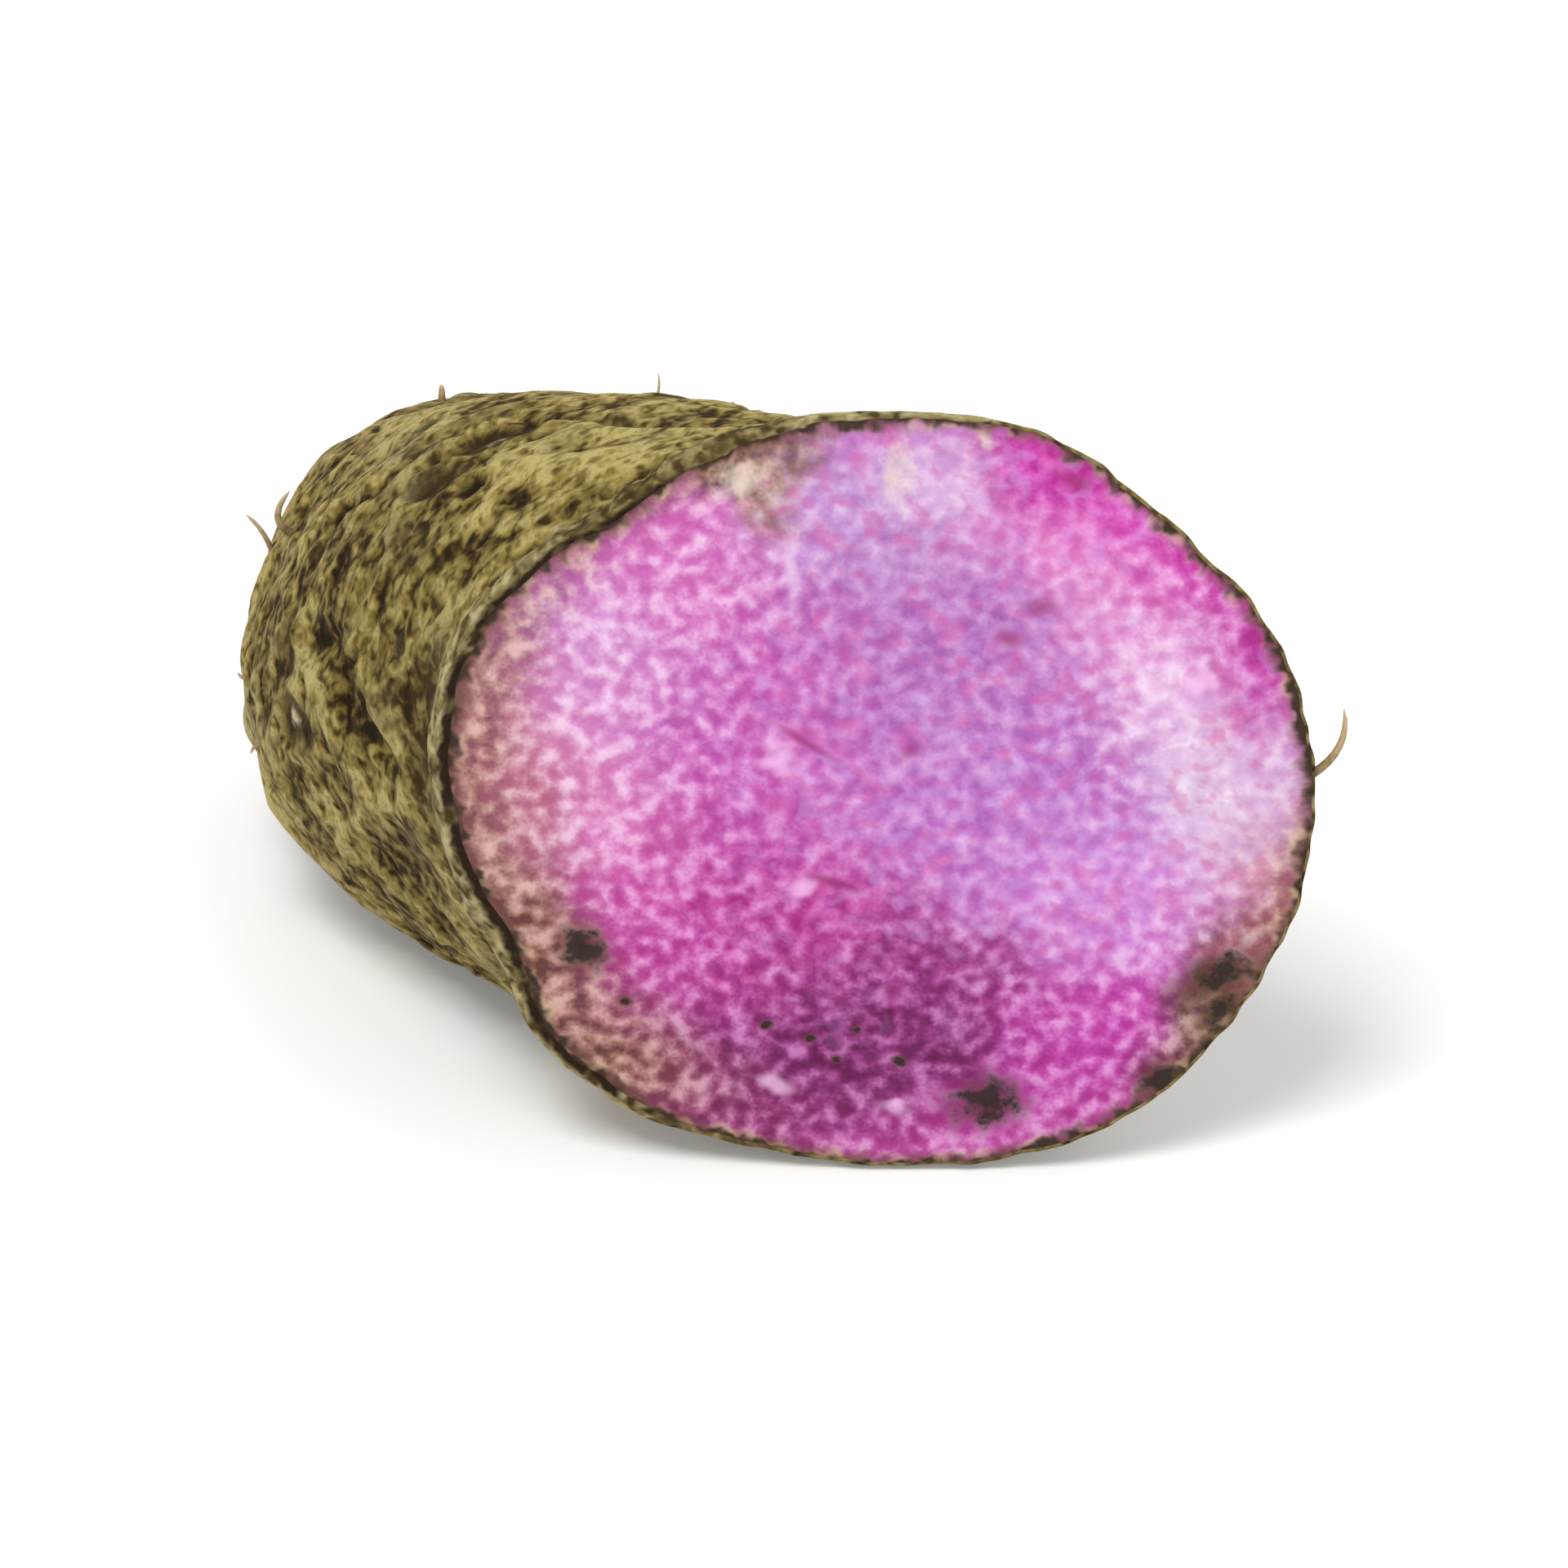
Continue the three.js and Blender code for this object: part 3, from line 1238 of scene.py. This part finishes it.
class NodeSheet:
    """A tree of shader nodes, with a short call for each kind that the finishes use."""

    def __init__(self, owner: bpy.types.ID) -> None:
        """Starts with no nodes.

        Args:
            owner: the material or world that the nodes are for.
        """
        self.owner = owner
        owner.use_nodes = True
        self.tree = owner.node_tree
        self.tree.nodes.clear()

    def _node(self, kind: str, inputs: dict[str | int, object], **settings: str) -> bpy.types.Node:
        """Adds a node.

        Args:
            kind: the node's type, without what all types start with.
            inputs: values, or sockets to link, by the names or numbers of the node's inputs.
            **settings: what else is set on the node.

        Returns:
            The node.
        """
        node = self.tree.nodes.new("ShaderNode" + kind)
        for name, setting in settings.items():
            setattr(node, name, setting)
        for name, value in inputs.items():
            socket = node.inputs[name]
            if isinstance(value, Socket):
                self.tree.links.new(value, socket)
            elif socket.type == "RGBA":
                socket.default_value = (*value, 1.0)
            else:
                socket.default_value = value
        return node

    def values(self, name: str, output: str = "Fac") -> Socket:
        """What the mesh stores under a name."""
        return self._node("Attribute", {}, attribute_name=name).outputs[output]

    def place(self) -> Socket:
        """Positions on the object, in metres."""
        return self._node("TexCoord", {}).outputs["Object"]

    def askew(self, where: Socket) -> Socket:
        """Places turned about all axes."""
        return self._node("Mapping", {"Vector": where, "Rotation": ASKEW}).outputs["Vector"]

    def scaled(self, where: Socket, by: tuple[float, float, float]) -> Socket:
        """Places stretched or squeezed along each axis."""
        node = self._node("VectorMath", {0: where, 1: by}, operation=Maths.TIMES.value)
        return node.outputs["Vector"]

    def noise(
        self, where: Socket, wave: float, detail: float = 2.0, rough: float = 0.5, warp: float = 0.0
    ) -> Socket:
        """Noise from 0 to 1, near 0.5 on average.

        Args:
            where: places to read.
            wave: length of its largest wave, in the unit of those places.
            detail: how many finer layers it has.
            rough: how strong those layers are.
            warp: how much the noise distorts itself.

        Returns:
            The number.
        """
        inputs = {
            "Vector": where,
            "Scale": 1.0 / wave,
            "Detail": detail,
            "Roughness": rough,
            "Distortion": warp,
        }
        return self._node("TexNoise", inputs).outputs["Fac"]

    def maths(self, work: Maths, *numbers: Number) -> Socket:
        """The outcome of one maths node."""
        return self._node("Math", dict(enumerate(numbers)), operation=work.value).outputs[0]

    def sum(self, *parts: tuple[Number, float], plus: Number = 0.0) -> Socket:
        """A weighted sum.

        Args:
            *parts: numbers, each with the weight that it is multiplied by.
            plus: what is added to them.

        Returns:
            The sum.
        """
        total = plus
        for value, weight in parts:
            total = self.maths(Maths.TIMES_PLUS, value, weight, total)
        return total

    def product(self, first: Socket, *others: Number) -> Socket:
        """Multiplies numbers.

        Args:
            first: one number.
            *others: the rest.

        Returns:
            Their product.
        """
        total = first
        for other in others:
            total = self.maths(Maths.TIMES, total, other)
        return total

    def window(
        self, value: Socket, low: float, high: float, at_low: float = 0.0, at_high: float = 1.0
    ) -> Socket:
        """A smooth change from one number to another as a value passes through a range.

        Args:
            value: what is followed.
            low: where the change starts.
            high: where it ends, which may be below low.
            at_low: the outcome up to low.
            at_high: the outcome from high on.

        Returns:
            The outcome.
        """
        inputs = {
            "Value": value,
            "From Min": low,
            "From Max": high,
            "To Min": at_low,
            "To Max": at_high,
        }
        return self._node("MapRange", inputs, interpolation_type="SMOOTHSTEP").outputs["Result"]

    def nearness(self, where: Socket, marks: tuple[Mark, ...], middle: Vector) -> Socket:
        """How near each place of a flat face is to the nearest of some oval marks.

        Args:
            where: places, in metres.
            marks: the marks, placed from the face's middle.
            middle: the face's middle, in metres. The face looks along -Y.

        Returns:
            1 at the middle of a mark, 0 at its edge and less outside.
        """
        nearest: Number = NOWHERE
        for mark in marks:
            inputs = {
                "Vector": where,
                "Location": middle + Vector((mark.right, 0.0, mark.up)) * MM,
                "Rotation": (0.0, -math.radians(mark.lean), 0.0),
                "Scale": (mark.half_width * MM, 1.0, mark.half_height * MM),
            }
            fitted = self._node("Mapping", inputs, vector_type="TEXTURE").outputs["Vector"]
            away = self._node("VectorMath", {0: fitted}, operation=Maths.LENGTH.value)
            near = self.sum((away.outputs["Value"], -1.0), plus=1.0)
            nearest = self.maths(Maths.HIGHER, near, nearest)
        return nearest

    def ramp(self, value: Socket, stops: Stops) -> Socket:
        """Gives a colour to a number.

        Args:
            value: the number.
            stops: the colours, between which it changes evenly.

        Returns:
            The colour.
        """
        node = self._node("ValToRGB", {"Fac": value})
        elements = node.color_ramp.elements
        while len(elements) < len(stops):
            elements.new(0.5)
        for element, (position, colour) in zip(elements, stops):
            element.position = position
            element.color = (*linear(colour), 1.0)
        return node.outputs["Color"]

    def mix(self, share: Socket, under: Socket | Colour, over: Socket | Colour) -> Socket:
        """Lays one colour over another.

        Args:
            share: how much of the upper one shows, 0 to 1.
            under: the lower colour.
            over: the upper colour.

        Returns:
            The mixed colour.
        """
        under, over = (linear(one) if isinstance(one, tuple) else one for one in (under, over))
        inputs = {MIX_SHARE: share, MIX_UNDER: under, MIX_OVER: over}
        return self._node("Mix", inputs, data_type="RGBA").outputs[MIX_COLOUR]

    def cover(
        self, under: Socket, over: Colour, value: Socket, low: float, high: float, share: float
    ) -> Socket:
        """One colour laid over another, by none of it to a share as value goes from low to high."""
        return self.mix(self.window(value, low, high, 0.0, share), under, over)

    def curved(self, colour: Socket, power: Socket) -> Socket:
        """A colour with each channel raised to a power: above 1 darkens it, below 1 lightens."""
        return self._node("Gamma", {"Color": colour, "Gamma": power}).outputs["Color"]

    def bump(self, height: Socket, distance: float, strength: float) -> Socket:
        """Normals tilted by a height, 1 of which stands for a distance, by a share of the effect."""
        inputs = {"Height": height, "Distance": distance, "Strength": strength}
        return self._node("Bump", inputs).outputs["Normal"]

    def backdrop_rays(self) -> Socket:
        """Tells the rays that see the backdrop from the light on things.

        Returns:
            1 for rays from the camera, off gloss and through glass, and 0 for all others.
        """
        path = self._node("LightPath", {}).outputs
        seen = self.maths(Maths.HIGHER, path["Is Camera Ray"], path["Is Glossy Ray"])
        return self.maths(Maths.HIGHER, seen, path["Is Transmission Ray"])

    def finish(self, shader: Shader = Shader.SOLID, **sockets: object) -> bpy.types.ID:
        """Adds the shader, sets or links its sockets, and joins it to the output.

        Args:
            shader: which shader it is.
            **sockets: socket names, with underscores for spaces, and their values.

        Returns:
            The finished material or world.
        """
        kind, output = shader.value
        inputs = {name.replace("_", " "): value for name, value in sockets.items()}
        self._node(output, {"Surface": self._node(kind, inputs).outputs[0]})
        return self.owner


@dataclass(frozen=True)
class SkinFinish:
    """Corky olive-brown skin: painted light on its ridges, painted shade in its hollows, tan on the
    lip.
    """

    tones: Stops = (
        (0.12, (32, 22, 6)),
        (0.34, (66, 50, 18)),
        (0.52, (110, 92, 44)),
        (0.72, (145, 127, 66)),
        (0.98, (186, 168, 106)),
    )
    lip: Stops = (
        (0.2, (78, 64, 36)),
        (0.5, (138, 124, 82)),
        (0.85, (184, 170, 126)),
    )
    line: Colour = (36, 24, 10)
    grey: Colour = (92, 80, 56)
    shade: Colour = (60, 46, 20)
    scar: Colour = (32, 22, 6)
    kernel: Colour = (212, 190, 160)

    def build(self) -> Material:
        """Makes the material.

        Returns:
            A material that reads the attributes of the tuber's skin.
        """
        sheet = NodeSheet(bpy.data.materials.new("yam_skin"))
        place, way, lip, shade = sheet.place(), *map(sheet.values, ("way", "lip", "shade"))
        worms = sheet.noise(place, 1.35 * MM, detail=1.0, warp=0.35)
        blobs = sheet.noise(place, 2.5 * MM, detail=1.0)
        fibres = sheet.noise(sheet.values("grain", "Vector"), 0.9)
        dust = sheet.noise(place, 0.4 * MM)
        broad = sheet.noise(place, 9.0 * MM, detail=3.0, rough=0.6)

        # the skin's own mottle, plus painted shade in hollows and painted light on ridges from the
        # relief
        tone = sheet.sum(
            (sheet.values("relief"), 0.15),
            (worms, 1.5),
            (blobs, 0.78),
            (fibres, 0.15),
            (dust, 0.25),
            (broad, 0.95),
            (sheet.values("pale"), 0.24),
            plus=-1.26,
        )
        colour = sheet.ramp(tone, self.tones)
        greyer = sheet.noise(place, 7.0 * MM, detail=3.0)
        colour = sheet.cover(colour, self.grey, greyer, 0.54, 0.7, 0.35)
        sunk = sheet.sum((sheet.values("scar"), 1.0), (worms, 1.8), (dust, 1.2), plus=-1.5)
        colour = sheet.cover(colour, self.scar, sunk, 0.05, 0.9, 0.8)
        core = sheet.sum((sheet.values("kernel"), 1.0), (dust, 0.5), (worms, 0.6), plus=-0.55)
        colour = sheet.cover(colour, self.kernel, core, 0.35, 1.0, 0.9)

        ragged = sheet.sum((way, 1.0), (worms, 2.2), (blobs, 1.6), plus=-1.9)
        on_lip = sheet.product(
            sheet.window(ragged, -3.6, -2.2),
            sheet.window(lip, 0.3, 0.9, 0.25, 0.85),
            sheet.window(shade, 0.3, 0.9, 1.0, 0.3),
        )
        lip_tone = sheet.sum((worms, 1.5), (fibres, 1.2), (blobs, 1.0), plus=-1.3)
        colour = sheet.mix(on_lip, colour, sheet.ramp(lip_tone, self.lip))
        shaded = sheet.product(shade, sheet.window(worms, 0.7, 0.35, 0.35, 0.9))
        colour = sheet.mix(shaded, colour, self.shade)
        rind, strip = sheet.values("rind"), sheet.values("strip")
        at_line = sheet.sum((way, 1.0), (worms, 1.2), (rind, 0.4), (strip, -1.0), plus=-0.6)
        broken = sheet.window(sheet.sum((blobs, 1.0), (lip, 0.4)), 0.62, 0.9, 0.15, 1.0)
        in_line = sheet.product(sheet.window(at_line, -0.35, 0.3), broken)
        colour = sheet.mix(in_line, colour, self.line)

        height = sheet.sum((worms, 1.0), (blobs, 0.8), (fibres, 0.12), (dust, 0.18))
        return sheet.finish(
            Base_Color=colour,
            Roughness=sheet.window(tone, 0.1, 0.9, 0.92, 0.62),
            Normal=sheet.bump(height, 0.6 * MM, 0.8),
            Specular_IOR_Level=0.12,
        )


@dataclass(frozen=True)
class RootletFinish:
    """Dry tan rootlets, darker at the foot and mottled along their length."""

    tones: Stops = ((0.05, (92, 74, 44)), (0.45, (158, 134, 96)), (0.95, (196, 172, 138)))

    def build(self) -> Material:
        """Makes the material.

        Returns:
            A material that reads how far along its rootlet each place is.
        """
        sheet = NodeSheet(bpy.data.materials.new("yam_rootlet"))
        mottle = sheet.noise(sheet.place(), 0.7 * MM, detail=3.0, rough=0.6)
        tone = sheet.sum((sheet.values("along"), 0.9), (mottle, 0.9), plus=-0.4)
        return sheet.finish(
            Base_Color=sheet.ramp(tone, self.tones),
            Roughness=sheet.window(mottle, 0.3, 0.7, 0.9, 0.7),
            Normal=sheet.bump(mottle, 0.25 * MM, 0.8),
            Specular_IOR_Level=0.2,
        )


@dataclass(frozen=True)
class FleshFinish:
    """Moist purple flesh: clouded colour, coarse light and dark grain, a thin brown edge."""

    light: Colour = (250, 206, 244)
    pink: Colour = (204, 92, 162)
    lilac: Colour = (196, 156, 218)
    cortex: Stops = (
        (0.2, (72, 54, 30)),
        (0.5, (145, 108, 80)),
        (0.9, (208, 166, 148)),
    )
    tuft: Colour = (228, 214, 198)
    red: Colour = (150, 44, 104)
    edge: Colour = (118, 78, 66)
    edge_dark: Colour = (50, 32, 18)
    brim: Colour = (186, 160, 118)
    cork: Colour = (112, 96, 54)
    halo: Colour = (88, 60, 38)
    spot: Colour = (32, 20, 8)

    def build(self, face: CutFace, middle: Vector) -> Material:
        """Makes the material.

        Args:
            face: the cut face, whose marks it shows.
            middle: the middle of the cut, in metres.

        Returns:
            A material that reads the attributes of the tuber's flesh.
        """
        sheet = NodeSheet(bpy.data.materials.new("yam_flesh"))
        place, way, calm, inner, rind, strip = (
            sheet.place(),
            *map(sheet.values, ("way", "calm", "cortex", "rind", "strip")),
        )
        pale_spots, tufts, red_spots, dark_spots = (
            sheet.nearness(place, marks, middle)
            for marks in (face.pale_spots, face.tufts, face.red_spots, face.dark_spots)
        )
        askew = sheet.askew(place)
        grains = sheet.noise(askew, 1.4 * MM, detail=0.0)
        blobs = sheet.noise(askew, 2.4 * MM, detail=1.0)
        clouds = sheet.noise(askew, 5.0 * MM, detail=3.0, rough=0.6)
        dust = sheet.noise(askew, 0.45 * MM, detail=1.0)
        specks = sheet.sum((grains, 0.6), (dust, 0.4), plus=-0.5)
        hue = sheet.noise(sheet.scaled(askew, (1.3, 0.9, 1.0)), 2.1 * MM)
        fringe = sheet.noise(sheet.scaled(sheet.values("polar", "Vector"), (0.35, 1.0, 1.0)), 0.9)

        mottle = sheet.sum((grains, -2.25), (blobs, -1.1), (clouds, -0.5), (dust, -0.9), plus=2.37)
        strong = sheet.window(calm, 0.0, 0.8, 1.1, 0.62)
        power = sheet.sum((sheet.product(mottle, strong), 1.0), plus=1.0)
        power = sheet.window(power, 0.0, 2.0, 0.5, 1.62)
        colour = sheet.curved(sheet.values("flesh_colour", "Color"), power)
        shown = sheet.window(calm, 0.0, 0.7, 0.12, 1.0)
        tints = ((self.pink, 0.48, 0.34, 0.42), (self.lilac, 0.53, 0.68, 0.34))
        for tint, low, high, share in tints:
            tinted = sheet.product(shown, sheet.window(hue, low, high, 0.0, share))
            colour = sheet.mix(tinted, colour, tint)
        near = sheet.sum((pale_spots, 1.0), (grains, 0.8), plus=-0.4)
        colour = sheet.cover(colour, self.light, near, 0.0, 0.8, 0.5)

        brown = sheet.sum((inner, 1.0), (blobs, 0.9), (grains, 0.7), (clouds, 1.0), plus=-1.3)
        brown = sheet.product(
            sheet.window(brown, -0.3, 1.2), sheet.window(inner, 0.0, 0.6, 0.0, 0.72)
        )
        cortex_tone = sheet.sum((grains, 1.3), (blobs, 0.8), (dust, 0.5), plus=-0.8)
        colour = sheet.mix(brown, colour, sheet.ramp(cortex_tone, self.cortex))
        near = sheet.sum((tufts, 1.0), (specks, 1.0), (fringe, 1.4), plus=-0.7)
        colour = sheet.cover(colour, self.tuft, near, -0.2, 1.1, 0.7)
        near = sheet.sum((red_spots, 1.0), (specks, 1.4))
        colour = sheet.cover(colour, self.red, near, -0.3, 0.9, 0.75)

        fuzzy = sheet.sum((way, 1.0), (fringe, -1.6), (grains, -1.8), (rind, -0.9), plus=1.7)
        brim = sheet.mix(sheet.window(blobs, 0.52, 0.68), self.edge, self.brim)
        colour = sheet.mix(sheet.window(fuzzy, 1.5, 0.1, 0.0, 0.75), colour, brim)
        broken = sheet.window(sheet.sum((blobs, 1.0), (rind, 0.25)), 0.45, 0.65, 0.25, 1.0)
        dark = sheet.product(sheet.window(fuzzy, 0.7, -0.2), broken)
        colour = sheet.mix(dark, colour, self.edge_dark)
        outer = sheet.sum((way, -1.0), (fringe, 1.0), (grains, 1.4), (strip, 1.2), plus=-2.0)
        cork = sheet.mix(sheet.window(grains, 0.42, 0.62), self.cork, self.brim)
        colour = sheet.mix(sheet.window(outer, 0.0, 0.4, 0.0, 0.9), colour, cork)
        near = sheet.sum((dark_spots, 1.0), (grains, 1.5), (dust, 0.8), plus=-1.15)
        colour = sheet.cover(colour, self.halo, near, -0.6, 0.25, 0.6)
        colour = sheet.cover(colour, self.spot, near, -0.1, 0.6, 0.95)

        height = sheet.sum((grains, 1.0), (blobs, 0.6), (dust, 0.3))
        return sheet.finish(
            Base_Color=colour,
            Roughness=sheet.window(grains, 0.3, 0.7, 0.66, 0.5),
            Normal=sheet.bump(height, 0.3 * MM, 0.7),
            Specular_IOR_Level=0.25,
            Subsurface_Weight=0.1,
            Subsurface_Radius=(1.0, 0.5, 0.7),
            Subsurface_Scale=1.0 * MM,
        )


# ---- Floor, light and camera ----


@dataclass(frozen=True)
class Lamp:
    """A square soft light that looks at the yam."""

    name: str
    azimuth: float  # degrees, 0 in front of the cut, positive to its right
    elevation: float  # degrees
    distance: float  # metres
    size: float  # metres
    watts: float


@dataclass(frozen=True)
class Studio:
    """A plain white floor, soft lamps and a camera in front of the cut."""

    lamps: tuple[Lamp, ...] = each(
        Lamp,
        ("key", -24, 58, 1.1, 0.4, 8.6),
        ("fill", 48, 28, 1.2, 0.9, 2.6),
        ("back", 170, 60, 1.2, 0.9, 2.4),
    )
    sky: float = 0.38  # strength of its light on things
    floor_size: float = 6.0  # metres
    floor_white: float = 0.9  # share of the light that it sends back
    floor_glow: float = 0.16  # what rays that see the backdrop find on it besides
    camera_elevation: float = 29.0  # degrees
    camera_distance: float = 0.7  # metres
    lens: float = 172.0  # mm
    aim: tuple[float, float, float] = (-0.0095, 0.0, 0.0022)  # from the cut's middle, metres

    def build(self, cut_middle: Vector) -> None:
        """Makes everything round the yam.

        Args:
            cut_middle: the middle of the cut face, in metres.
        """
        scene = bpy.context.scene
        scene.world = self._world()
        self._floor()
        for lamp in self.lamps:
            data = bpy.data.lights.new(lamp.name, "AREA")
            data.shape = "SQUARE"
            data.size = lamp.size
            data.energy = lamp.watts
            eye = cut_middle + self._direction(lamp.azimuth, lamp.elevation) * lamp.distance
            self._viewer(lamp.name, data, eye, cut_middle)
        data = bpy.data.cameras.new("camera")
        data.lens = self.lens
        eye = cut_middle + self._direction(0.0, self.camera_elevation) * self.camera_distance
        scene.camera = self._viewer("camera", data, eye, cut_middle + Vector(self.aim))
        scene.view_settings.view_transform = "Standard"

    def _world(self) -> bpy.types.World:
        """Makes a soft even sky, which the camera, gloss and glass see as plain white.

        Returns:
            The world.
        """
        sheet = NodeSheet(bpy.data.worlds.new("sky"))
        strength = sheet.window(sheet.backdrop_rays(), 0.0, 1.0, self.sky, 1.0)
        return sheet.finish(Shader.SKY, Color=(1.0, 1.0, 1.0), Strength=strength)

    def _floor(self) -> None:
        """A white floor that keeps the shadow and glows a little for what sees the backdrop."""
        half = 0.5 * self.floor_size
        mesh = bpy.data.meshes.new("floor")
        corners = [(-half, -half, 0.0), (half, -half, 0.0), (half, half, 0.0), (-half, half, 0.0)]
        mesh.from_pydata(corners, [], [(0, 1, 2, 3)])
        sheet = NodeSheet(bpy.data.materials.new("floor_white"))
        mesh.materials.append(
            sheet.finish(
                Base_Color=(self.floor_white,) * 3,
                Roughness=0.9,
                Specular_IOR_Level=0.1,
                Emission_Color=(1.0, 1.0, 1.0),
                Emission_Strength=sheet.window(sheet.backdrop_rays(), 0.0, 1.0, 0.0, self.floor_glow),
            )
        )
        floor = add_object("floor", mesh)

    @staticmethod
    def _direction(azimuth: float, elevation: float) -> Vector:
        """The way from the yam to something that stands round it.

        Args:
            azimuth: degrees, 0 in front of the cut, positive to its right.
            elevation: degrees above the floor.

        Returns:
            A direction 1 long.
        """
        turn, rise = math.radians(azimuth), math.radians(elevation)
        flat = math.cos(rise)
        return Vector((math.sin(turn) * flat, -math.cos(turn) * flat, math.sin(rise)))

    @staticmethod
    def _viewer(name: str, data: bpy.types.ID, eye: Vector, aim: Vector) -> bpy.types.Object:
        """Sets up a lamp or a camera.

        Args:
            name: the object's name.
            data: the lamp or camera.
            eye: where it stands, metres.
            aim: what it looks at, metres.

        Returns:
            The object.
        """
        viewer = add_object(name, data)
        viewer.location = eye
        viewer.rotation_mode = "QUATERNION"
        viewer.rotation_quaternion = (aim - eye).to_track_quat("-Z", "Y")
        return viewer


# ---- Putting it together ----


def report_piece(piece: bpy.types.Object) -> None:
    """Logs a piece's name, faces and size in millimetres."""
    size = ", ".join(f"{length / MM:.1f}" for length in piece.dimensions)
    LOG.info("%s: %d faces, %s mm", piece.name, len(piece.data.polygons), size)


def main() -> None:
    """Builds the yam and its studio."""
    logging.basicConfig(level=logging.INFO, format="%(name)s: %(message)s")
    tuber = Tuber()
    flesh = FleshFinish().build(tuber.face, tuber.cut_middle)
    report_piece(tuber.build(SkinFinish().build(), flesh))
    report_piece(Rootlets().build(tuber, RootletFinish().build()))
    Studio().build(tuber.cut_middle)


if __name__ == "__main__":
    main()
